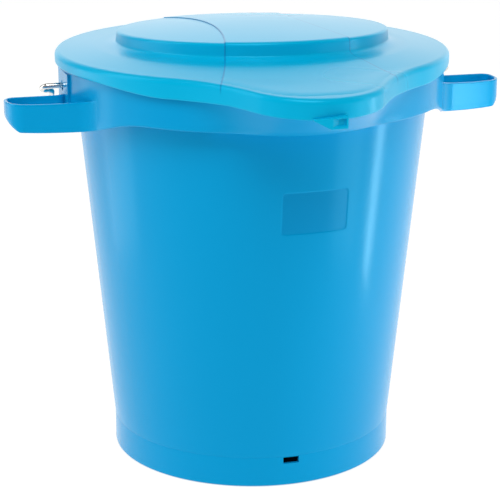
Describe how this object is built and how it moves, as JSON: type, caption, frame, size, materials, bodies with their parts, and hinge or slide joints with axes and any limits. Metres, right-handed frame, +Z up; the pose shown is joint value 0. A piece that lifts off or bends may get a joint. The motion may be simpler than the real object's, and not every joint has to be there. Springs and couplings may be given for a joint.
{
  "type": "wash bucket",
  "caption": "Tapered round plastic wash bucket with a pouring spout, side loop handles, a lift-off lid and a steel wire bail.",
  "frame": {"origin": "centre of the foot ring's flat underside, where the bucket stands", "axes": "+Z up out of the bucket's mouth, -Y towards the pouring spout, X along the bail's pivot axis through both loop handles"},
  "size_m": [0.453, 0.4096, 0.396],
  "materials": {
    "bucket_plastic": "blue satin moulded polypropylene",
    "lid_plastic": "blue satin moulded polypropylene",
    "bail_steel": "drawn stainless wire"
  },
  "bodies": {
    "bucket": {"bucket": "bucket_plastic"},
    "lid": {"lid": "lid_plastic"},
    "bail_handle": {"bail_handle": "bail_steel"}
  },
  "joints": [
    {"name": "lid_lift", "type": "slide", "parent": "bucket", "child": "lid", "axis": [0, 0, 1], "range_m": [0, 0.2]},
    {"name": "bail_swing", "type": "hinge", "parent": "bucket", "child": "bail_handle", "pos_m": [0, 0, 0.344], "axis": [1, 0, 0], "range_deg": [0, 201]}
  ]
}
